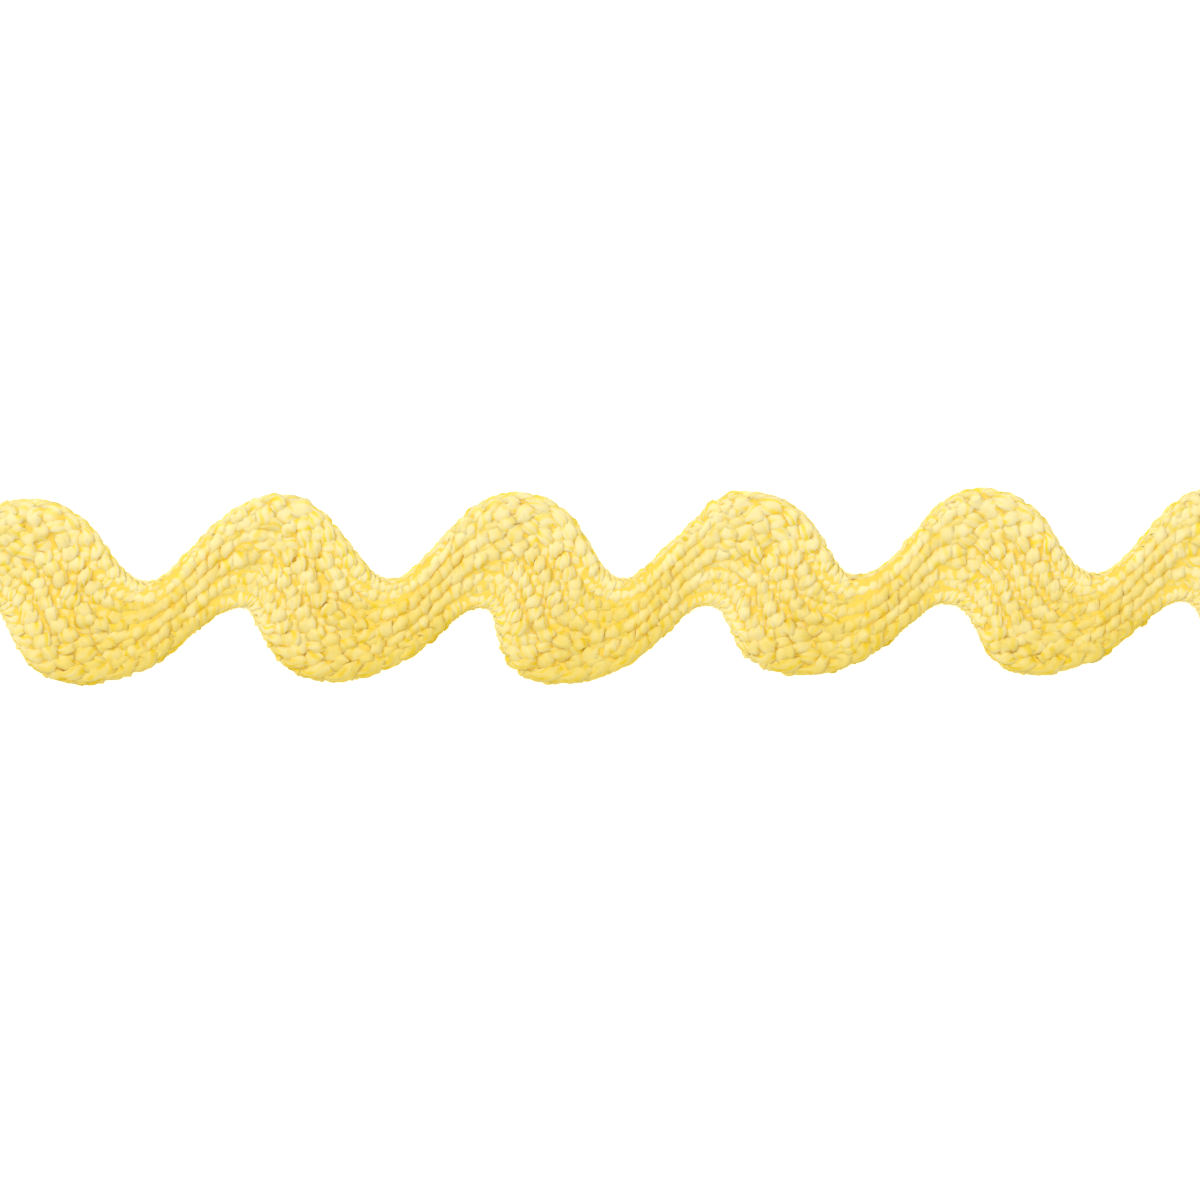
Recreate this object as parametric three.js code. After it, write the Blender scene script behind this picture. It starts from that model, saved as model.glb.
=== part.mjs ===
// A cut length of ric rac, a flat braid that waves from side to side, lying flat.
// Millimetres, +Z up. The braid runs along X and its underside rests on z = 0.
//
// Each wave has a steep limb, from its crest down to its dip, and a gentle limb, from the dip up to the
// next crest. The crest and the dip are on the upper edge, the crook and the trough on the lower edge.
// Straight rulings cross the braid from the lower edge to the upper one.

import * as THREE from "three";

// The braid: one yarn passes over two others and then under two, so a rib comes every four crossings.
const YARNS = 21;
const CROSSINGS_PER_RIB = 4;
const FIRST_GENTLE_RIB = 1.5; // crossings from the lower edge to the first rib of a gentle limb
const FIRST_STEEP_RIB = 3.5; // and to the first rib of a steep limb, where the braid has turned over
const RIB_CHANGEOVER = 0.35; // how gradually the ribs of one limb give way to those of the next

// The braid's thickness.
const VALLEY_THICKNESS = 0.95;
const RIB_HEIGHT = 0.35;
const EDGE_RADIUS = 0.55; // how far in from each edge the face is rounded off
const EDGE_HEIGHT = 0.45; // where the braid is widest
const SHOULDER = 0.18; // inset of the first row of points on the face

// How the rulings lean: half way along a limb, their upper ends run ahead and their lower ends stay behind
// by this share of it.
const STEEP_LEAD = 0.14;
const GENTLE_LEAD = -0.08;

const STATIONS_PER_LIMB = 10; // rulings in each limb that carry a section of the braid

// One row for each gentle limb, from its trough and dip to its crook and crest. A steep limb joins it to
// the next row. Each key point is x, y, and how far its edge keeps level before and after it.
const GENTLE_LIMBS = [
  {
    trough: [-47.9, -6.1, 5.4, 5.5],
    dip: [-44.0, 0.25, 2.3, 2.6],
    crook: [-38.6, -1.37, 2.7, 1.7],
    crest: [-36.45, 5.48, 3.4, 5.5],
  },
  {
    trough: [-32.7, -6.18, 5.4, 5.8],
    dip: [-28.83, 0.22, 2.6, 2.3],
    crook: [-22.6, -1.37, 3.1, 1.4],
    crest: [-20.45, 5.8, 4.05, 4.1],
  },
  {
    trough: [-17.0, -6.04, 4.95, 5.7],
    dip: [-13.53, 0.36, 1.9, 2.75],
    crook: [-7.3, -1.4, 2.65, 1.7],
    crest: [-5.46, 5.94, 3.8, 5.2],
  },
  {
    trough: [-2.54, -6.19, 5.55, 6.0],
    dip: [1.46, 0.39, 2.45, 1.75],
    crook: [6.99, -1.24, 2.75, 2.0],
    crest: [9.08, 5.98, 2.5, 5.4],
  },
  {
    trough: [12.95, -5.66, 5.75, 5.05],
    dip: [16.0, 0.62, 1.65, 3.5],
    crook: [21.97, -1.11, 2.0, 2.9],
    crest: [24.0, 6.18, 3.5, 5.5],
  },
  {
    trough: [27.56, -5.62, 4.6, 5.4],
    dip: [31.27, 0.73, 2.55, 2.6],
    crook: [37.1, -0.98, 2.6, 1.9],
    crest: [38.9, 6.25, 3.4, 5.1],
  },
  {
    trough: [42.7, -5.6, 5.4, 5.5],
    dip: [46.3, 0.8, 2.4, 2.5],
    crook: [52.2, -1.1, 2.7, 1.8],
    crest: [54.1, 6.1, 3.4, 5.2],
  },
];

// The stretch of one edge between two key points, level at both.
function edgeCurve(from, to) {
  const [fromX, fromY, , levelAfter] = from;
  const [toX, toY, levelBefore] = to;
  return new THREE.CubicBezierCurve(
    new THREE.Vector2(fromX, fromY),
    new THREE.Vector2(fromX + levelAfter, fromY),
    new THREE.Vector2(toX - levelBefore, toY),
    new THREE.Vector2(toX, toY)
  );
}

// The limbs in order along the braid: gentle and steep ones take turns.
function limbs() {
  return GENTLE_LIMBS.flatMap((limb, index) => {
    const gentle = {
      lower: edgeCurve(limb.trough, limb.crook),
      upper: edgeCurve(limb.dip, limb.crest),
      lead: GENTLE_LEAD,
      start: 0.5,
    };
    const next = GENTLE_LIMBS[index + 1];
    if (!next) {
      return [gentle];
    }
    const steep = {
      lower: edgeCurve(limb.crook, next.trough),
      upper: edgeCurve(limb.crest, next.dip),
      lead: STEEP_LEAD,
      start: 0,
    };
    return [gentle, steep];
  });
}

// One ruling across a limb. The share runs from 0 to 1 along the limb, and turn from 0 to 1 along a wave.
function ruling(limb, share) {
  const lead = limb.lead * Math.sin(Math.PI * share);
  return {
    lower: limb.lower.getPoint(share - lead),
    upper: limb.upper.getPoint(share + lead),
    turn: limb.start + share / 2,
  };
}

// How far the face stands up for the ribs, at so many crossings from the lower edge. The ribs are round,
// with a narrow groove between them.
function ribRise(turn, crossings) {
  const gentleness = -Math.sin(2 * Math.PI * turn);
  const gentleShare = THREE.MathUtils.smoothstep(gentleness, -RIB_CHANGEOVER, RIB_CHANGEOVER);
  const angle = Math.PI / CROSSINGS_PER_RIB;
  const gentleRib = Math.abs(Math.cos(angle * (crossings - FIRST_GENTLE_RIB)));
  const steepRib = Math.abs(Math.cos(angle * (crossings - FIRST_STEEP_RIB)));
  return RIB_HEIGHT * (gentleShare * gentleRib + (1 - gentleShare) * steepRib);
}

// The height of the face at a distance in from the nearer edge, with its full height there.
function roundedHeight(inset, height) {
  const across = 1 - Math.min(inset / EDGE_RADIUS, 1);
  return EDGE_HEIGHT + (height - EDGE_HEIGHT) * Math.sqrt(1 - across * across);
}

// The outline of the braid's section at a ruling: pairs of distance from the lower edge, and height.
function sectionOutline(width, turn) {
  const outline = [
    [EDGE_RADIUS, 0],
    [width - EDGE_RADIUS, 0],
    [width, EDGE_HEIGHT],
  ];
  for (let column = YARNS - 1; column >= 0; column -= 1) {
    const crossings = column + 0.5;
    const distance = SHOULDER + ((width - 2 * SHOULDER) * crossings) / YARNS;
    const inset = Math.min(distance, width - distance);
    const height = VALLEY_THICKNESS + ribRise(turn, crossings);
    outline.push([distance, roundedHeight(inset, height)]);
  }
  outline.push([0, EDGE_HEIGHT]);
  return outline;
}

// The triangles that close a cut end, as places in its outline.
function endFace(outline) {
  const contour = outline.map(([distance, height]) => new THREE.Vector2(distance, height));
  return THREE.ShapeUtils.triangulateShape(contour, []);
}

// The rulings from one cut end to the other. Both cuts go straight across, half way along a gentle limb.
function rulings() {
  const whole = limbs().flatMap((limb) =>
    Array.from({ length: STATIONS_PER_LIMB }, (_, step) => ruling(limb, step / STATIONS_PER_LIMB))
  );
  const halfLimb = STATIONS_PER_LIMB / 2;
  return whole.slice(halfLimb, whole.length - halfLimb + 1);
}

// A closed skin through the sections, with a flat face over each cut end.
function braidGeometry() {
  const positions = [];
  const outlines = rulings().map(({ lower, upper, turn }) => {
    const across = upper.clone().sub(lower);
    const width = across.length();
    const outline = sectionOutline(width, turn);
    outline.forEach(([distance, height]) => {
      const place = lower.clone().addScaledVector(across, distance / width);
      positions.push(place.x, place.y, height);
    });
    return outline;
  });
  const corners = outlines[0].length;
  const indices = [];
  for (let section = 0; section < outlines.length - 1; section += 1) {
    for (let corner = 0; corner < corners; corner += 1) {
      const here = section * corners + corner;
      const beside = section * corners + ((corner + 1) % corners);
      indices.push(here, beside, here + corners, beside, beside + corners, here + corners);
    }
  }
  const endStart = (outlines.length - 1) * corners;
  endFace(outlines[0]).forEach(([a, b, c]) => indices.push(a, c, b));
  endFace(outlines.at(-1)).forEach(([a, b, c]) => indices.push(endStart + a, endStart + b, endStart + c));

  const geometry = new THREE.BufferGeometry();
  geometry.setAttribute("position", new THREE.Float32BufferAttribute(positions, 3));
  geometry.setIndex(indices);
  geometry.computeVertexNormals();
  return geometry;
}

const yellowCotton = new THREE.MeshStandardMaterial({ color: "#f7df7c", roughness: 0.85, metalness: 0 });

const braid = new THREE.Mesh(braidGeometry(), yellowCotton);
braid.name = "ric_rac";
braid.geometry.computeBoundingBox();
const centre = braid.geometry.boundingBox.getCenter(new THREE.Vector3());
braid.position.set(-centre.x, -centre.y, 0);

const part = new THREE.Group();
part.add(braid);

export default part;
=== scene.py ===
"""A cut length of ric rac, a flat yellow braid that waves from side to side, face up on a pale floor."""
import math

import bmesh
import bpy
import numpy as np
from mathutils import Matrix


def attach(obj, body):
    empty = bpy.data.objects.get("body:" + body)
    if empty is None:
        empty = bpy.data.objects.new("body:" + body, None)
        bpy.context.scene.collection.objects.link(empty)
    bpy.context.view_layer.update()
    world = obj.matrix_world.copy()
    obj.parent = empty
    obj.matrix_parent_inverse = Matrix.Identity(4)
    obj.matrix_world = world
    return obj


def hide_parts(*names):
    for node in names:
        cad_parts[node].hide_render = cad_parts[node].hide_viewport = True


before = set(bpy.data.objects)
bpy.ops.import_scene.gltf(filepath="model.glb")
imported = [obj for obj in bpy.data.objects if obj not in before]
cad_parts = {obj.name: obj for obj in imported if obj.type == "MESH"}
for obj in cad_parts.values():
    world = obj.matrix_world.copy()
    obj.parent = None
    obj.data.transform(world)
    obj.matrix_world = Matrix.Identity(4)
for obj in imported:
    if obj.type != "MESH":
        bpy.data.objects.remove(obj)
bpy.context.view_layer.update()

MM = 0.001
SEED = 11
PICTURE = 1200
PIXEL = 0.0635  # millimetres of trim that one pixel of the 1200 x 1200 frame covers

# The braid, in millimetres. One row for each gentle limb, from its trough and dip to its crook and crest.
# A steep limb joins it to the next row. Each key point is x, y, and how far its edge keeps level before
# and after it.
GENTLE_LIMBS = [
    {
        "trough": (-47.9, -6.1, 5.4, 5.5),
        "dip": (-44.0, 0.25, 2.3, 2.6),
        "crook": (-38.6, -1.37, 2.7, 1.7),
        "crest": (-36.45, 5.48, 3.4, 5.5),
    },
    {
        "trough": (-32.7, -6.18, 5.4, 5.8),
        "dip": (-28.83, 0.22, 2.6, 2.3),
        "crook": (-22.6, -1.37, 3.1, 1.4),
        "crest": (-20.45, 5.8, 4.05, 4.1),
    },
    {
        "trough": (-17.0, -6.04, 4.95, 5.7),
        "dip": (-13.53, 0.36, 1.9, 2.75),
        "crook": (-7.3, -1.4, 2.65, 1.7),
        "crest": (-5.46, 5.94, 3.8, 5.2),
    },
    {
        "trough": (-2.54, -6.19, 5.55, 6.0),
        "dip": (1.46, 0.39, 2.45, 1.75),
        "crook": (6.99, -1.24, 2.75, 2.0),
        "crest": (9.08, 5.98, 2.5, 5.4),
    },
    {
        "trough": (12.95, -5.66, 5.75, 5.05),
        "dip": (16.0, 0.62, 1.65, 3.5),
        "crook": (21.97, -1.11, 2.0, 2.9),
        "crest": (24.0, 6.18, 3.5, 5.5),
    },
    {
        "trough": (27.56, -5.62, 4.6, 5.4),
        "dip": (31.27, 0.73, 2.55, 2.6),
        "crook": (37.1, -0.98, 2.6, 1.9),
        "crest": (38.9, 6.25, 3.4, 5.1),
    },
    {
        "trough": (42.7, -5.6, 5.4, 5.5),
        "dip": (46.3, 0.8, 2.4, 2.5),
        "crook": (52.2, -1.1, 2.7, 1.8),
        "crest": (54.1, 6.1, 3.4, 5.2),
    },
]
STEEP_LEAD = 0.14  # how far a ruling's ends run ahead and stay behind half way along a limb
GENTLE_LEAD = -0.08
FRAME_CENTRE = (0.0, -0.92)  # the picture's centre, in the same millimetres

# The braid. Places along it are counted in limbs, and places across it in crossings from its lower edge.
YARNS = 21
CROSSINGS_PER_RIB = 4
FIRST_GENTLE_RIB = 1.5  # crossings from the lower edge to the first rib of a gentle limb
FIRST_CUT = 0.5  # both cuts go straight across, half way along a gentle limb
LAST_CUT = 2 * len(GENTLE_LIMBS) - 1.5
OUTLINE_PLACES = 1201  # places along the braid at which its outline is measured
LIMB_CHANGEOVER = 0.6  # how gradually the gentle limbs give way to the steep ones
GENTLE_WIDENING = 0.3  # crossings by which a rib spreads into the grooves beside it
STEEP_WIDENING = 0.15
EDGE_MARGIN = 2  # crossings from an edge over which the weave settles into its own way
EVENING = 0.015  # limbs by which each gentle limb takes yarns from the steep ones beside it
MIDDLE_HEIGHT = 0.6  # of the braid's middle above the floor
MIDDLE_INSET = 0.25  # how far in from the edge the yarns' middles stay, unless they say otherwise

# The way of each yarn. It lies over two others and then under two.
FLOAT_MIDDLE = 1.5  # crossings from a turn to the middle of the first float
SHORTEST_FRAY = -0.25  # crossings by which a yarn's end stands out of the cut
LONGEST_FRAY = 0.35
GENTLE_CRIMP = 0.30  # how far a yarn bends to go straight over the two that it crosses
STEEP_CRIMP = 0.06
UNEVEN_WAY = 0.19  # crossings by which a yarn strays
EDGE_UNEVENNESS = 0.3  # the share of that which is left at the edges
ZIGZAG_SHARPNESS = 0.998  # 1 makes the zigzag's corners sharp
UNEVEN_HEIGHT = 0.15  # the share by which the floats' heights differ
SQUASH = 0.5  # how closely two yarns press together where they cross
SLACK_CHANGEOVER = 0.55  # how gradually the taut yarns give way to the slack ones
LEAST_EASE = 0.3  # how easily a taut yarn is pushed up or down. A slack one has 1 more
TURN_INSET = 0.05  # how far in from the edge a taut yarn turns
SLACK_INSET = 0.22  # and how much further in a slack yarn does
GENTLE_INSET = 0.2  # and how much further in all of them do on the gentle limbs

# The section of each yarn.
PLUMP_THICKNESS = 0.34  # half the thickness of a slack yarn
TAUT_THICKNESS = 0.24  # and of a taut one
FILL = 0.8  # half a yarn's width, as a share of the room between it and the next one
SLANTED_FILL = 0.85  # the same along the rib, on the floats that lie slanted in it
WIDEST = 0.66  # half widths
NARROWEST = 0.15
UNEVEN_WIDTH = 0.13  # the share by which their widths differ
TAPER = 0.18  # how much of its width a yarn loses from the middle of a float to where it dives
THICKNESS_TAPER = 0.2  # and how much of its thickness
TURN_TAPER = 0.28  # and how much of its width where it turns back at the edge
SLANT_START = 0.5  # crossings from an edge where the floats begin to lie slanted
SLANT_END = 3  # and where they are slanted in full
SAMPLES = 5  # rings for each crossing
PLIES = 6
SIDES = 2 * PLIES  # a ridge and a groove for each ply
PLY_DEPTH = 0.12
FLATTENING = 0.68  # 1 leaves a yarn's section round
LUMP_DEPTH = 0.05  # how far the yarn swells and shrinks round its section
LUMP_PACE = 9  # radians of the lumps' wave for each millimetre of yarn
PLY_TWIST = 8.0  # millimetres of yarn for one turn of its plies

# How high a point of a yarn counts in its colour, as painted light and shade: 1 on top of a float, which is
# painted paler, and less where the yarn dives, which is painted deeper.
FACE_SHARE = 0.65  # the share of it that comes from the yarn's place, over or under, and not the point's own
LIFT_STRETCH = 0.35
# Painted light: a yarn that turns back at the edge counts as higher and is painted paler there.
EDGE_LIFT = 1.6  # how much more a yarn counts as on the face where it turns back at the edge

# How pale the trim is painted, from 0 to 1. It is painted light and shade: paler on its ribs, upper edge and
# steep limbs, deeper in the grooves between ribs, along the lower edge of its gentle limbs and in its
# troughs and dips.
MEAN_PALENESS = 0.37
RIB_PAINTED_LIGHT = 0.33
UPPER_PAINTED_LIGHT = 0.7
UPPER_SAMENESS = 0.7  # the share of the limbs' difference that is lost at the upper edge
LIMB_PAINTED_LIGHT = 0.42
PALEST_PLACE = 1.3  # early on each steep limb
# The upper edge is painted paler as painted light; along the lower edge the limbs' painted light and shade
# are stronger.
UPPER_BAND = (15, 20)  # crossings over which the upper edge's colour comes in
LOWER_BAND = (1, 4)  # and over which the lower edge's goes out

# The yarns' colour, from the deepest to the palest, and what it follows: painted shade in the grooves and
# where a yarn dives, painted light on the tops of the floats, and the yarns' own fibre streaks and random
# patches.
DEEP_GROOVE_PAINTED_SHADE = "#ecc91e"
DEEP_TOP_PAINTED_LIGHT = "#f1d872"
FAIR_GROOVE_PAINTED_SHADE = "#f7dc3c"
FAIR_TOP_PAINTED_LIGHT = "#fbebab"
RELIEF = 0.62  # from the braid's middle to the tops of its floats
STREAKS_ALONG = 1.2  # streaks for each millimetre of yarn
STREAKS_AROUND = 8.0  # streaks in one turn round it
YARN_SPACING = 90.0  # keeps one yarn's streaks apart from another's
STREAK_CONTRAST = 2.7
YARN_CONTRAST = 0.15
# Painted shade in the ply grooves and painted light on their ridges.
PLY_PAINTED_SHADE = 0.4
# Painted light high on the relief and on top of the floats, painted shade low in the grooves and where a
# yarn dives.
RELIEF_PAINTED_LIGHT = 0.35
LIFT_PAINTED_LIGHT = 1.15
DEEPENING = 0.56
PATCHES = 900.0  # patches of paler yarn for each metre
PATCH_CONTRAST = 1.8
PLY_BUMP = 0.25

# The cloth inside the yarns, coloured a deeper yellow as painted shade.
CORE_INSET = 0.32  # from the braid's edge
CORE_TOP = 0.86  # its height on the steep limbs
GENTLE_CORE_RISE = 0.09  # and how much higher it is on the gentle ones
CORE_THICKNESS = 0.5
# Painted shade: the core is coloured deeper than the yarns' tops.
CORE_DEEP_PAINTED_SHADE = "#f9d348"
CORE_PALE_PAINTED_SHADE = "#fbdc60"
CORE_STATIONS = 361
CORE_COLUMNS = 9

# The loose fibres.
FIBRES = 7500
FIBRE_POINTS = 5
FIBRE_RADIUS = 0.013
FIBRE_TIP = 0.4  # the share of its thickness that a fibre keeps at its tip
FIBRE_SIDES = 3
FIBRE_CEILING = 1.5  # no fibre stands higher
FIBRE_ROOT = 0.97  # the share of the way out from a yarn's middle to its surface where a fibre starts
FIBRE_LENGTHS = (3.0, 0.16)  # the shape and scale of their gamma distribution
FIBRE_LIFT = 0.3  # how steeply the steepest fibres leave the yarn
FIBRE_CURL = 0.7  # how much their curls differ
FIBRE_BEND = 0.35  # how far a curl carries the fibre's tip away
FIBRE_MARGINS = (2, 4)  # rings at a yarn's two ends that carry no fibres

# The yarns that each piece is made of: the first, and the one after the last.
YARN_GROUPS = {"yarns_a": (0, 5), "yarns_b": (5, 10), "yarns_c": (10, 15), "yarns_d": (15, 21)}

LIGHT_BOUNCES = 16  # between the pale yarns

random = np.random.default_rng(SEED)


def edge_points(start, end, share):
    """Points of an edge between two key points, level at both, at shares of the way."""
    rest = 1 - share
    weights = np.stack([rest**3, 3 * share * rest**2, 3 * share**2 * rest, share**3], axis=-1)
    x = np.array([start[0], start[0] + start[3], end[0] - end[2], end[0]])
    y = np.array([start[1], start[1], end[1], end[1]])
    return np.stack([weights @ x, weights @ y], axis=-1)


def rulings(along):
    """Lower and upper ends of the rulings at places counted in limbs from the first trough and dip."""
    lower = np.zeros(along.shape + (2,))
    upper = np.zeros(along.shape + (2,))
    for number in range(2 * len(GENTLE_LIMBS) - 1):
        here = np.clip(np.floor(along), 0, 2 * len(GENTLE_LIMBS) - 2) == number
        share = along[here] - number
        limb = GENTLE_LIMBS[number // 2]
        if number % 2 == 0:
            lead = GENTLE_LEAD * np.sin(np.pi * share)
            lower[here] = edge_points(limb["trough"], limb["crook"], share - lead)
            upper[here] = edge_points(limb["dip"], limb["crest"], share + lead)
        else:
            following = GENTLE_LIMBS[number // 2 + 1]
            lead = STEEP_LEAD * np.sin(np.pi * share)
            lower[here] = edge_points(limb["crook"], following["trough"], share - lead)
            upper[here] = edge_points(limb["crest"], following["dip"], share + lead)
    return lower, upper


def part_centre():
    """The middle of the braid's outline, which is the part's origin."""
    ends = np.concatenate(rulings(np.linspace(FIRST_CUT, LAST_CUT, OUTLINE_PLACES)))
    return (ends.min(axis=0) + ends.max(axis=0)) / 2


CENTRE = part_centre()


def smooth_step(value, low, high):
    """0 below the low value and 1 above the high one, with a smooth slope between them."""
    share = np.clip((value - low) / (high - low), 0, 1)
    return share * share * (3 - 2 * share)


def gentleness(along):
    """1 on the gentle limbs and 0 on the steep ones."""
    return smooth_step(np.sin(np.pi * along), -LIMB_CHANGEOVER, LIMB_CHANGEOVER)


def evened(along):
    """The gentle limbs are longer, so they take more of the yarns than the steep ones do."""
    return along + EVENING * np.cos(np.pi * along)


def rib_angle(crossing):
    """The phase of a gentle limb's ribs: a whole turn from the top of one rib to the next."""
    return 2 * np.pi * (crossing - FIRST_GENTLE_RIB) / CROSSINGS_PER_RIB


def widened(along, crossing):
    """Each rib takes room from the grooves beside it. The ribs of the two kinds of limb take turns."""
    indoors = np.clip(np.minimum(crossing, YARNS - crossing) / EDGE_MARGIN, 0, 1)
    wave = np.sin(rib_angle(crossing))
    gentle = gentleness(along)
    widening = GENTLE_WIDENING * gentle - STEEP_WIDENING * (1 - gentle)
    return crossing + widening * indoors * wave


def place(along, crossing, inset=MIDDLE_INSET):
    """Plan positions at places along the braid and crossings, 0 to 21, from its lower edge."""
    lower, upper = rulings(evened(along))
    across = upper - lower
    width = np.linalg.norm(across, axis=-1)
    distance = inset + (width - 2 * inset) * widened(along, crossing) / YARNS
    return lower + across * (distance / width)[:, None] - CENTRE


def slackness():
    """For each yarn, 0 where it turns in the crooks and dips and is taut, and 1 where it is slack."""
    turn = 2 * np.pi * np.arange(YARNS) / YARNS
    return smooth_step(-np.cos(turn), -SLACK_CHANGEOVER, SLACK_CHANGEOVER)


SLACK = slackness()
HALF_THICKNESS = TAUT_THICKNESS + (PLUMP_THICKNESS - TAUT_THICKNESS) * SLACK


def crossing_heights(number, steps):
    """Height of a yarn at whole steps from the braid's middle, and whether it lies over, 1, or under, -1."""
    local = steps % (2 * YARNS)
    column = YARNS - np.abs(local - YARNS)
    rising = local < YARNS
    pair = ((column - 1) // 2) % 2 == 0
    over = np.where(pair == rising, 1.0, -1.0)
    partner = np.where(rising, number + column, number - column) % YARNS
    ease = LEAST_EASE + SLACK
    share = ease[number] / (ease[number] + ease[partner])
    height = over * SQUASH * (HALF_THICKNESS[number] + HALF_THICKNESS[partner]) * share
    turning = local % YARNS == 0
    return np.where(turning, 0.0, height), np.where(turning, 0.0, over)


def through(values, first, at):
    """A Catmull-Rom curve through values at whole steps from first, read at any place."""
    whole = np.floor(at).astype(int)
    f = at - whole
    k = whole - first
    a, b, c, d = values[k - 1], values[k], values[k + 1], values[k + 2]
    square = (2 * a - 5 * b + 4 * c - d) * f**2
    cube = (3 * b - a - 3 * c + d) * f**3
    return 0.5 * (2 * b + (c - a) * f + square + cube)


def unit(vectors):
    """The same directions, each one long."""
    return vectors / np.maximum(np.linalg.norm(vectors, axis=-1), 1e-9)[:, None]


def float_room(along, crossing, rising, crimp):
    """The distance between a yarn and the next one beside it, square to the way that its floats lie."""
    forward = 0.5  # crossings to the point that gives the direction
    here = place(along, crossing)
    ahead_along = along + forward * (1 - np.pi * crimp) / YARNS
    ahead_crossing = crossing + np.where(rising, forward, -forward) * (1 + np.pi * crimp)
    heading = unit(place(ahead_along, ahead_crossing) - here)
    gap = place(along + 2 / YARNS, crossing) - here
    return np.abs(gap[:, 0] * heading[:, 1] - gap[:, 1] * heading[:, 0])


def painted_light_and_shade(along, crossing):
    """Painted light and shade: the trim is painted paler on its ribs, upper edge and steep limbs, and deeper
    in its grooves, along the lower edge of its gentle limbs, and in its troughs and dips.
    """
    upper = smooth_step(crossing, *UPPER_BAND)
    lower = 1 - smooth_step(crossing, *LOWER_BAND)
    # Painted light on the ribs and painted shade in the grooves between them.
    rib = gentleness(along) * np.cos(rib_angle(crossing))
    # Painted light on the steep limbs and painted shade in the troughs and dips, strongest along the lower
    # edge.
    limb = np.cos(np.pi * (along - PALEST_PLACE)) * (1 + lower) * (1 - UPPER_SAMENESS * upper)
    return MEAN_PALENESS + RIB_PAINTED_LIGHT * rib + UPPER_PAINTED_LIGHT * upper + LIMB_PAINTED_LIGHT * limb


def softened(values, reach):
    """Values averaged over a reach of neighbours on each side."""
    weights = np.hanning(2 * reach + 3)
    padded = np.pad(values, reach + 1, mode="edge")
    return np.convolve(padded, weights / weights.sum(), mode="valid")


def yarn_steps(number):
    """Places along a yarn, in crossings from a turn at the lower edge, and the whole steps round them."""
    fray = random.uniform(SHORTEST_FRAY, LONGEST_FRAY, 2)
    start = YARNS * (FIRST_CUT - 1) - 2 * number - fray[0]
    stop = YARNS * (LAST_CUT - 1) - 2 * number + fray[1]
    steps = np.linspace(start, stop, int(SAMPLES * (stop - start)))
    whole = np.arange(int(math.floor(start)) - 3, int(stop) + 5)
    return steps, whole


def from_edge(steps):
    """Crossings to the nearer turn of a yarn."""
    leg = steps % YARNS
    return np.minimum(leg, YARNS - leg)


def yarn_way(number, steps, whole):
    """A zigzag from edge to edge, with each float set square to the yarns that it crosses.

    Gives the places along and across, how gentle the limb is and how far the yarn bends.
    """
    indoors = smooth_step(from_edge(steps), 0, EDGE_MARGIN)
    gentle = gentleness(1 + (steps + 2 * number) / YARNS)
    crimp = STEEP_CRIMP + (GENTLE_CRIMP - STEEP_CRIMP) * gentle
    stray = through(random.normal(0, 1, len(whole)), whole[0], steps)
    sway = np.sin(np.pi * (steps % YARNS - FLOAT_MIDDLE)) * indoors * crimp
    sway += UNEVEN_WAY * (EDGE_UNEVENNESS + (1 - EDGE_UNEVENNESS) * indoors) * stray
    zigzag = np.arcsin(ZIGZAG_SHARPNESS * np.cos(np.pi * (steps + sway) / YARNS))
    crossing = YARNS / 2 * (1 - zigzag / math.asin(ZIGZAG_SHARPNESS))
    along = 1 + (steps - sway + 2 * number) / YARNS
    return along, crossing, gentle, crimp


def yarn_facing(heading, steps, along):
    """Which way the flat of the yarn faces. It rolls over the edge where the yarn turns back."""
    local = steps % (2 * YARNS)
    lower, upper = rulings(evened(along))
    outward = np.zeros_like(heading)
    outward[:, :2] = unit(upper - lower)
    from_lower_turn = np.where(local > YARNS, local - 2 * YARNS, local)
    top_roll = np.pi * np.clip((local - YARNS + 1) / 2, 0, 1)
    low_roll = np.pi * np.clip((from_lower_turn + 1) / 2, 0, 1)
    facing = outward * (np.sin(top_roll) - np.sin(low_roll))[:, None]
    facing[:, 2] += np.cos(top_roll) * np.where(local < YARNS / 2, np.cos(low_roll), 1)
    facing -= heading * np.sum(facing * heading, axis=1)[:, None]
    facing = unit(facing)
    turned = np.sign(np.sum(facing[1:] * facing[:-1], axis=1))
    turned[turned == 0] = 1
    return facing * np.concatenate([[1], np.cumprod(turned)])[:, None]


def yarn_heights(number, steps, whole):
    """How high a yarn lies, over two and under two and a little unevenly, and how far over it counts in its
    painted light and shade.
    """
    height, over = crossing_heights(number, whole)
    height = height * random.normal(1, UNEVEN_HEIGHT, len(whole))
    on_face = through(over, whole[0], steps)
    turning = 1 - smooth_step(from_edge(steps), 0, 1)
    on_face += np.where(on_face < 0, -1, 1) * EDGE_LIFT * turning
    return MIDDLE_HEIGHT + through(height, whole[0], steps), on_face


def section_size(number, steps, room, uneven):
    """Half a yarn's width and half its thickness: largest on the floats, and less where the yarn dives."""
    indoors = smooth_step(from_edge(steps), 0, EDGE_MARGIN)
    diving = 1 - np.cos(np.pi * (steps % YARNS - FLOAT_MIDDLE)) * indoors
    half_width = np.clip(FILL * room, NARROWEST, WIDEST) * (1 - TAPER * diving) * uneven
    half_width *= 1 - TURN_TAPER * (1 - indoors)
    half_thickness = HALF_THICKNESS[number] * (1 - THICKNESS_TAPER * diving) / uneven
    return half_width, half_thickness


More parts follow.
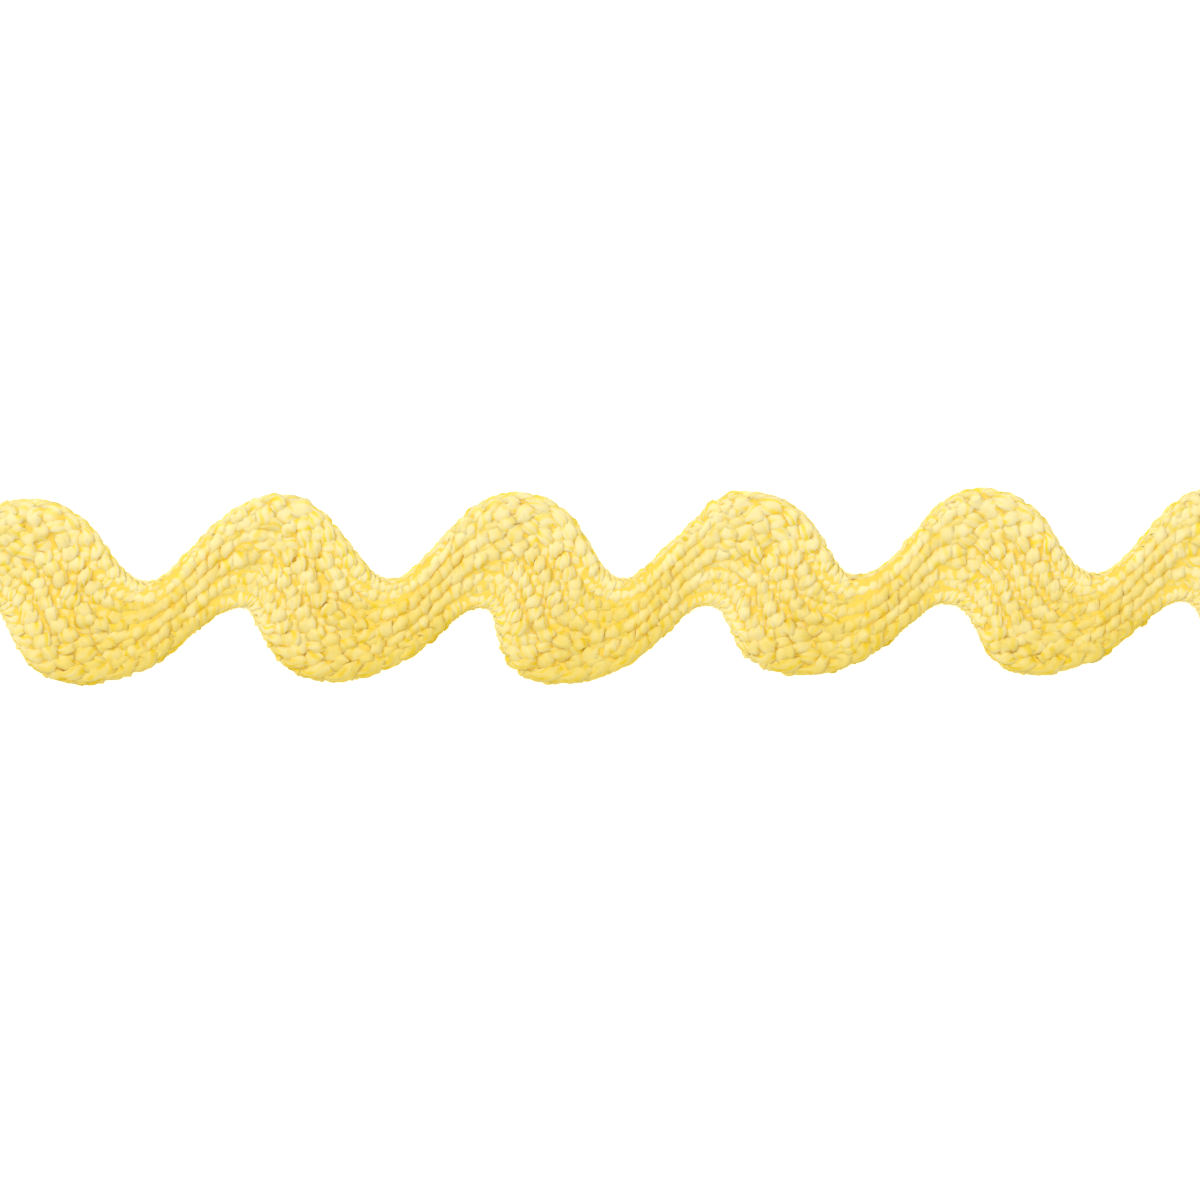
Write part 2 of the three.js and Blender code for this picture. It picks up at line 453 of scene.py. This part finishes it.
def yarn_rings(number):
    """One yarn: its centres, half width and half thickness as vectors, how far over it is and how pale it is
    painted for light and shade.
    """
    steps, whole = yarn_steps(number)
    along, crossing, gentle, crimp = yarn_way(number, steps, whole)
    plan = place(along, crossing, TURN_INSET + SLACK_INSET * SLACK[number] + GENTLE_INSET * gentle**2)
    up, on_face = yarn_heights(number, steps, whole)
    centres = np.concatenate([plan, up[:, None]], axis=1)
    heading = unit(np.gradient(centres, axis=0))
    facing = yarn_facing(heading, steps, along)
    across = np.cross(heading, facing)

    rising = steps % (2 * YARNS) < YARNS
    room = softened(float_room(along, crossing, rising, crimp), SAMPLES)
    uneven = through(random.normal(1, UNEVEN_WIDTH, len(whole)), whole[0], steps)
    half_width, half_thickness = section_size(number, steps, room, uneven)

    # On a gentle limb a float lies slanted in its rib, and its ends follow the rib.
    to_next = np.zeros_like(centres)
    to_next[:, :2] = place(along + 1 / YARNS, crossing) - place(along - 1 / YARNS, crossing)
    to_next *= np.sign(np.sum(to_next * across, axis=1))[:, None]
    slant = (gentle * smooth_step(from_edge(steps), SLANT_START, SLANT_END))[:, None]
    reach = np.minimum(SLANTED_FILL * np.linalg.norm(to_next, axis=1), WIDEST) * uneven
    wide = unit(across * (1 - slant) + unit(to_next) * slant)
    wide *= half_width[:, None] * (1 - slant) + reach[:, None] * slant
    thick = unit(facing * (1 - slant) + unit(np.cross(to_next, heading)) * slant)
    thick *= half_thickness[:, None]
    return centres, wide, thick, on_face, painted_light_and_shade(along, crossing)


def flattened(share):
    """A cosine or sine with flatter ends, which presses a round section towards a square one."""
    return np.sign(share) * np.abs(share) ** FLATTENING


def facing_out(points, faces, centres):
    """Whether each face of a tube faces away from its centre line. About one in eleven doesn't.

    Over half of those lie where neighbouring rings cross. The others' cause isn't known.
    """
    corners = points.reshape(-1, 3)[faces]
    normals = np.cross(corners[:, :, 2] - corners[:, :, 0], corners[:, :, 3] - corners[:, :, 1])
    outwards = corners.mean(axis=2) - centres[:-1, None, :]
    return np.sum(normals * outwards, axis=2) > 0


def tube_points(rings, length, sides):
    """The points of a yarn's rings, with a ridge for each ply, and each point's lift, which paints light and
    shade into the colour.
    """
    centres, half_width, half_thickness, over, _ = rings
    angle = 2 * np.pi * (np.arange(sides)[None, :] / sides + length[:, None] / PLY_TWIST)
    ridge = np.where(np.arange(sides) % 2 == 0, 1, -1)[None, :]
    lump = np.cos(2 * angle + random.uniform(0, 2 * np.pi) + LUMP_PACE * length[:, None])
    swell = 1 + PLY_DEPTH * ridge + LUMP_DEPTH * lump
    wide = (flattened(np.cos(angle)) * swell)[:, :, None] * half_width[:, None, :]
    thick = (flattened(np.sin(angle)) * swell)[:, :, None] * half_thickness[:, None, :]
    points = centres[:, None, :] + wide + thick
    points[:, :, 2] = np.maximum(points[:, :, 2], 0.0)
    outwardness = thick[:, :, 2] / np.linalg.norm(half_thickness, axis=1)[:, None]
    lift = np.abs(FACE_SHARE * over[:, None] + (1 - FACE_SHARE) * outwardness)
    return points, (1 + LIFT_STRETCH) * lift - LIFT_STRETCH


def tube(rings, sides):
    """A yarn's points, faces, UVs, the lift and pale values that paint light and shade into its colour, and
    which faces are smooth.

    U is the distance along the yarn in millimetres, and V one turn round it.
    """
    centres, pale = rings[0], rings[-1]
    count = len(centres)
    length = np.concatenate([[0], np.cumsum(np.linalg.norm(np.diff(centres, axis=0), axis=1))])
    points, lift = tube_points(rings, length, sides)
    pale = np.broadcast_to(pale[:, None], lift.shape)
    ring = np.arange(count - 1)[:, None] * sides
    side = np.arange(sides)[None, :]
    beyond = (side + 1) % sides
    faces = np.stack([ring + side, ring + sides + side, ring + sides + beyond, ring + beyond], axis=-1)
    smooth = facing_out(points, faces, centres)
    u = np.broadcast_to(length[:-1, None], (count - 1, sides))
    u_next = np.broadcast_to(length[1:, None], (count - 1, sides))
    v = np.broadcast_to(side / sides, (count - 1, sides))
    v_next = v + 1 / sides
    corners = [(u, v), (u_next, v), (u_next, v_next), (u, v_next)]
    uvs = np.stack([np.stack(corner, -1) for corner in corners], axis=2)
    values = (lift.ravel(), pale.ravel())
    return points.reshape(-1, 3), faces.reshape(-1, 4), uvs.reshape(-1, 2), values, smooth.ravel()


def add_piece(name, mesh, material):
    """Puts a mesh into the scene as a piece of its own."""
    mesh.materials.append(material)
    piece = bpy.data.objects.new(name, mesh)
    bpy.context.scene.collection.objects.link(piece)
    return piece


def joined_tubes(name, all_rings, sides, material):
    """One piece made of several yarns, each closed at both ends, with its UVs and a shade of its own."""
    points, faces, uvs, shades, lifts, painted_lights, smooths = [], [], [], [], [], [], []
    offset = 0
    for rings in all_rings:
        own_points, own_faces, own_uvs, (own_lift, own_painted_light), own_smooth = tube(rings, sides)
        points.append(own_points)
        lifts.append(own_lift)
        painted_lights.append(own_painted_light)
        faces.extend((own_faces + offset).tolist())
        uvs.append(own_uvs)
        last = offset + len(own_points) - sides
        faces.append(list(range(offset, offset + sides)))
        faces.append(list(range(last + sides - 1, last - 1, -1)))
        uvs.append(np.zeros((2 * sides, 2)))
        smooths.extend(own_smooth.tolist() + [False, False])
        shades.extend([random.uniform(0, 1)] * len(own_points))
        offset += len(own_points)
    mesh = bpy.data.meshes.new(name)
    mesh.from_pydata((np.concatenate(points) * MM).tolist(), [], faces)
    layer = mesh.uv_layers.new(name="yarn")
    layer.data.foreach_set("uv", np.concatenate(uvs).ravel())
    # The lift and pale values carry painted light and shade into the yarns' colour.
    point_values = {"yarn_shade": shades, "lift": np.concatenate(lifts), "pale": np.concatenate(painted_lights)}
    for attribute, values in point_values.items():
        mesh.attributes.new(attribute, "FLOAT", "POINT").data.foreach_set("value", values)
    mesh.polygons.foreach_set("use_smooth", smooths)
    return add_piece(name, mesh, material)


def loose_fibres(all_rings):
    """Centre lines of fine fibres: each leaves a yarn, follows it for a while and curls away."""
    lines = []
    for number in random.integers(0, YARNS, FIBRES):
        centres, half_width, half_thickness = all_rings[number][:3]
        ring = random.integers(FIBRE_MARGINS[0], len(centres) - FIBRE_MARGINS[1])
        angle = random.uniform(0, 2 * np.pi)
        outward = half_width[ring] * np.cos(angle) + half_thickness[ring] * np.sin(angle)
        heading = unit((centres[ring + 1] - centres[ring])[None, :])[0] * random.choice([-1, 1])
        normal = unit(outward[None, :])[0]
        curl = random.normal(0, FIBRE_CURL, 3)
        length = random.gamma(*FIBRE_LENGTHS)
        share = np.linspace(0, 1, FIBRE_POINTS)[:, None]
        lift = random.uniform(0.0, FIBRE_LIFT)
        line = centres[ring] + FIBRE_ROOT * outward + length * share * (heading + lift * normal)
        line = line + FIBRE_BEND * length * share**2 * curl
        line[:, 2] = np.clip(line[:, 2], FIBRE_RADIUS, FIBRE_CEILING)
        lines.append(line)
    return np.array(lines)


def fibre_mesh(name, lines, material):
    """Fine three-sided tubes round many short lines, joined in one piece."""
    heading = np.gradient(lines, axis=1)
    heading /= np.linalg.norm(heading, axis=2, keepdims=True)
    leaning_up = [0.1, 0.2, 1.0]  # a direction that hardly any fibre takes
    sideways = np.cross(heading, leaning_up)
    sideways /= np.linalg.norm(sideways, axis=2, keepdims=True)
    upwards = np.cross(sideways, heading)
    taper = np.linspace(1, FIBRE_TIP, lines.shape[1])[None, :, None, None]
    angle = 2 * np.pi * np.arange(FIBRE_SIDES)[None, None, :, None] / FIBRE_SIDES
    ring = np.cos(angle) * sideways[:, :, None, :] + np.sin(angle) * upwards[:, :, None, :]
    points = lines[:, :, None, :] + FIBRE_RADIUS * taper * ring
    start = np.arange(lines.shape[0])[:, None, None] * lines.shape[1] * FIBRE_SIDES
    row = np.arange(lines.shape[1] - 1)[None, :, None] * FIBRE_SIDES
    side = np.arange(FIBRE_SIDES)[None, None, :]
    beyond = (side + 1) % FIBRE_SIDES
    here = start + row
    ahead = here + FIBRE_SIDES
    quads = np.stack([here + side, ahead + side, ahead + beyond, here + beyond], axis=-1)
    first = start[:, :, 0] + np.arange(FIBRE_SIDES)
    last = start[:, :, 0] + (lines.shape[1] - 1) * FIBRE_SIDES + np.arange(FIBRE_SIDES)[::-1]
    faces = quads.reshape(-1, 4).tolist() + first.tolist() + last.tolist()
    mesh = bpy.data.meshes.new(name)
    mesh.from_pydata((points.reshape(-1, 3) * MM).tolist(), [], faces)
    return add_piece(name, mesh, material)


class Socket:
    """A shader value that Python's own arithmetic can be used on. Without an output it only adds nodes."""

    def __init__(self, tree, output=None):
        self.tree = tree
        self.output = output

    def node(self, kind, settings=None, out=0, **inputs):
        """Adds a node of a type, with its settings first and then its sockets' values or links."""
        made = self.tree.nodes.new(kind)
        for name, value in (settings or {}).items():
            setattr(made, name, value)
        for name, value in inputs.items():
            key = int(name[1:]) if name[0] == "_" else name.replace("_", " ")
            socket = made.inputs[key]
            if isinstance(value, Socket):
                self.tree.links.new(value.output, socket)
            else:
                socket.default_value = value
        return Socket(self.tree, made.outputs[out])

    def maths(self, operation, a, b=0.0):
        """One operation on a value, or on two."""
        return self.node("ShaderNodeMath", {"operation": operation}, _0=a, _1=b)

    def __add__(self, other):
        return self.maths("ADD", self, other)

    def __radd__(self, other):
        return self.maths("ADD", other, self)

    def __sub__(self, other):
        return self.maths("SUBTRACT", self, other)

    def __rsub__(self, other):
        return self.maths("SUBTRACT", other, self)

    def __mul__(self, other):
        return self.maths("MULTIPLY", self, other)

    def __rmul__(self, other):
        return self.maths("MULTIPLY", other, self)

    def blend(self, a, b):
        """The colour between a and b that this value picks."""
        settings = {"data_type": "RGBA", "clamp_factor": True}
        return self.node("ShaderNodeMix", settings, out=2, _0=self, _6=a, _7=b)


def new_material(name):
    """A new material, its graph, to which nodes can be added, and its shader."""
    material = bpy.data.materials.new(name)
    material.use_nodes = True
    tree = material.node_tree
    return material, Socket(tree), tree.nodes["Principled BSDF"]


def colour(hex_code):
    """A linear colour from its hex code."""
    parts = [int(hex_code[i : i + 2], 16) / 255 for i in (1, 3, 5)]
    return tuple(p / 12.92 if p <= 0.04045 else ((p + 0.055) / 1.055) ** 2.4 for p in parts) + (1.0,)


def yarn_material():
    """Spun yellow cotton with streaks of fine fibres, painted paler on top of each float as painted light
    and deeper in the grooves as painted shade.
    """
    material, graph, shader = new_material("yellow_yarn")
    uv = graph.node("ShaderNodeUVMap")
    u = graph.node("ShaderNodeSeparateXYZ", Vector=uv)
    v = graph.node("ShaderNodeSeparateXYZ", out=1, Vector=uv)
    spot = graph.node("ShaderNodeTexCoord", out="Object")
    z = graph.node("ShaderNodeSeparateXYZ", out=2, Vector=spot)
    shade = graph.node("ShaderNodeAttribute", {"attribute_name": "yarn_shade"}, out=2)
    lift = graph.node("ShaderNodeAttribute", {"attribute_name": "lift"}, out=2)
    pale = graph.node("ShaderNodeAttribute", {"attribute_name": "pale"}, out=2)
    # Painted light and shade by height: paler high on the floats, deeper low in the grooves.
    relief = graph.maths("ABSOLUTE", z - MIDDLE_HEIGHT * MM) * (1 / (RELIEF * MM))
    ply = graph.maths("COSINE", v * (2 * math.pi * PLIES))
    own_place = shade * YARN_SPACING
    strand = graph.node("ShaderNodeCombineXYZ", X=u * STREAKS_ALONG, Y=v * STREAKS_AROUND, Z=own_place)
    fibres = graph.node("ShaderNodeTexNoise", Vector=strand, Scale=1.0, Detail=1.0, Roughness=0.5)
    patches = graph.node("ShaderNodeTexNoise", Vector=spot, Scale=PATCHES, Detail=2.0)
    # Real fibre streaks and a random hue for each yarn, with painted shade in the ply grooves and painted
    # light on their ridges.
    streaks = (fibres - 0.5) * STREAK_CONTRAST + shade * YARN_CONTRAST + ply * PLY_PAINTED_SHADE
    # Painted light on the tops of the floats and painted shade in the grooves and where a yarn dives, over
    # the real streaks.
    light = relief * RELIEF_PAINTED_LIGHT + lift * LIFT_PAINTED_LIGHT + streaks - DEEPENING
    # Painted light and shade by place on the braid, mixed with real patches of paler yarn.
    painted_light_and_patches = pale + (patches - 0.5) * PATCH_CONTRAST
    deep = light.blend(colour(DEEP_GROOVE_PAINTED_SHADE), colour(DEEP_TOP_PAINTED_LIGHT))
    fair = light.blend(colour(FAIR_GROOVE_PAINTED_SHADE), colour(FAIR_TOP_PAINTED_LIGHT))
    base = painted_light_and_patches.blend(deep, fair)
    graph.tree.links.new(base.output, shader.inputs["Base Color"])
    height = fibres + ply * PLY_BUMP
    bump = graph.node("ShaderNodeBump", Height=height, Strength=0.4, Distance=0.00006)
    graph.tree.links.new(bump.output, shader.inputs["Normal"])
    shader.inputs["Roughness"].default_value = 0.85
    shader.inputs["Specular IOR Level"].default_value = 0.1
    return material


def fibre_material():
    """The loose fibres that stand off the yarns."""
    material, _, shader = new_material("yellow_fibre")
    shader.inputs["Base Color"].default_value = colour("#fbe78f")
    shader.inputs["Roughness"].default_value = 0.7
    shader.inputs["Specular IOR Level"].default_value = 0.2
    return material


def core_material():
    """The cloth deep in the braid, seen only through the gaps between the yarns, coloured a deeper yellow as
    painted shade, with a real grain.
    """
    material, graph, shader = new_material("yellow_core")
    spot = graph.node("ShaderNodeTexCoord", out="Object")
    grain = graph.node("ShaderNodeTexNoise", Vector=spot, Scale=2600.0, Detail=3.0)
    # A deeper yellow as painted shade, varied by the cloth's grain.
    base = grain.blend(colour(CORE_DEEP_PAINTED_SHADE), colour(CORE_PALE_PAINTED_SHADE))
    graph.tree.links.new(base.output, shader.inputs["Base Color"])
    bump = graph.node("ShaderNodeBump", Height=grain, Strength=0.6, Distance=0.0001)
    graph.tree.links.new(bump.output, shader.inputs["Normal"])
    shader.inputs["Roughness"].default_value = 0.9
    return material


def braid_core(material):
    """The braid's cloth: one thin closed sheet inside the yarns, which fills the gentle limbs' grooves."""
    mesh_maker = bmesh.new()
    bmesh.ops.create_grid(mesh_maker, x_segments=CORE_STATIONS, y_segments=CORE_COLUMNS, size=1)
    corners = np.array([v.co[:] for v in mesh_maker.verts])
    along = FIRST_CUT + (LAST_CUT - FIRST_CUT) * (corners[:, 0] + 1) / 2
    plan = place(along, (corners[:, 1] + 1) / 2 * YARNS, CORE_INSET)
    tops = CORE_TOP + GENTLE_CORE_RISE * gentleness(along)
    for vertex, (x, y), top in zip(mesh_maker.verts, plan, tops):
        vertex.co = (x * MM, y * MM, top * MM)
    bmesh.ops.solidify(mesh_maker, geom=mesh_maker.faces, thickness=CORE_THICKNESS * MM)
    bmesh.ops.recalc_face_normals(mesh_maker, faces=mesh_maker.faces)
    mesh = bpy.data.meshes.new("braid_core")
    mesh_maker.to_mesh(mesh)
    mesh_maker.free()
    return add_piece("braid_core", mesh, material)


def make_floor():
    """A wide near-white floor under the braid."""
    mesh_maker = bmesh.new()
    bmesh.ops.create_grid(mesh_maker, x_segments=1, y_segments=1, size=1.5)
    mesh = bpy.data.meshes.new("floor")
    mesh_maker.to_mesh(mesh)
    mesh_maker.free()
    material, _, shader = new_material("white_floor")
    shader.inputs["Base Color"].default_value = (0.95, 0.95, 0.95, 1)
    shader.inputs["Roughness"].default_value = 0.9
    shader.inputs["Specular IOR Level"].default_value = 0.0
    shader.inputs["Emission Color"].default_value = (1, 1, 1, 1)
    shader.inputs["Emission Strength"].default_value = 0.45
    add_piece("floor", mesh, material)


def area_light(name, location, size, power):
    """A square soft light aimed at the braid."""
    data = bpy.data.lights.new(name, "AREA")
    data.size = size
    data.energy = power
    lamp = bpy.data.objects.new(name, data)
    lamp.location = location
    lamp.rotation_mode = "QUATERNION"
    lamp.rotation_quaternion = lamp.location.to_track_quat("Z", "Y")
    bpy.context.scene.collection.objects.link(lamp)


def make_lights():
    """Soft studio light, a little stronger from the far side. It bounces many times between the yarns."""
    area_light("key_light", location=(-0.42, 0.5, 0.5), size=0.6, power=2.5)
    area_light("fill_light", location=(0.2, -0.3, 0.9), size=0.9, power=1.4)
    world = bpy.data.worlds.new("studio")
    world.use_nodes = True
    background = world.node_tree.nodes["Background"]
    background.inputs["Color"].default_value = (1, 1, 1, 1)
    background.inputs["Strength"].default_value = 0.77
    bpy.context.scene.world = world
    bpy.context.scene.cycles.max_bounces = LIGHT_BOUNCES
    bpy.context.scene.cycles.diffuse_bounces = LIGHT_BOUNCES


def make_camera():
    """A long lens straight above, framing the photograph's 1200 x 1200 pixels."""
    distance = 0.9
    data = bpy.data.cameras.new("camera")
    data.lens = data.sensor_width * distance / (PICTURE * PIXEL * MM)
    data.clip_start = 0.01
    data.clip_end = 10
    camera = bpy.data.objects.new("camera", data)
    x, y = (np.array(FRAME_CENTRE) - CENTRE) * MM
    camera.location = (x, y, distance)
    bpy.context.scene.collection.objects.link(camera)
    bpy.context.scene.camera = camera
    bpy.context.scene.view_settings.view_transform = "Standard"


def flat_area():
    """The area of the braid's outline, in square metres."""
    lower, upper = rulings(np.linspace(FIRST_CUT, LAST_CUT, OUTLINE_PLACES))
    outline = np.concatenate([lower, upper[::-1]]) * MM
    x, y = outline[:, 0], outline[:, 1]
    return abs(np.sum(x * np.roll(y, -1) - y * np.roll(x, -1))) / 2


make_camera()
make_lights()
make_floor()

core = braid_core(core_material())
yarn = yarn_material()
all_rings = [yarn_rings(number) for number in range(YARNS)]
yarns = []
for name, (first, after) in YARN_GROUPS.items():
    yarns.append(joined_tubes(name, all_rings[first:after], SIDES, yarn))
yarns.append(fibre_mesh("loose_fibres", loose_fibres(all_rings), fibre_material()))

for piece in [core, *yarns]:
    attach(piece, "root")
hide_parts("ric_rac")

flat_area()
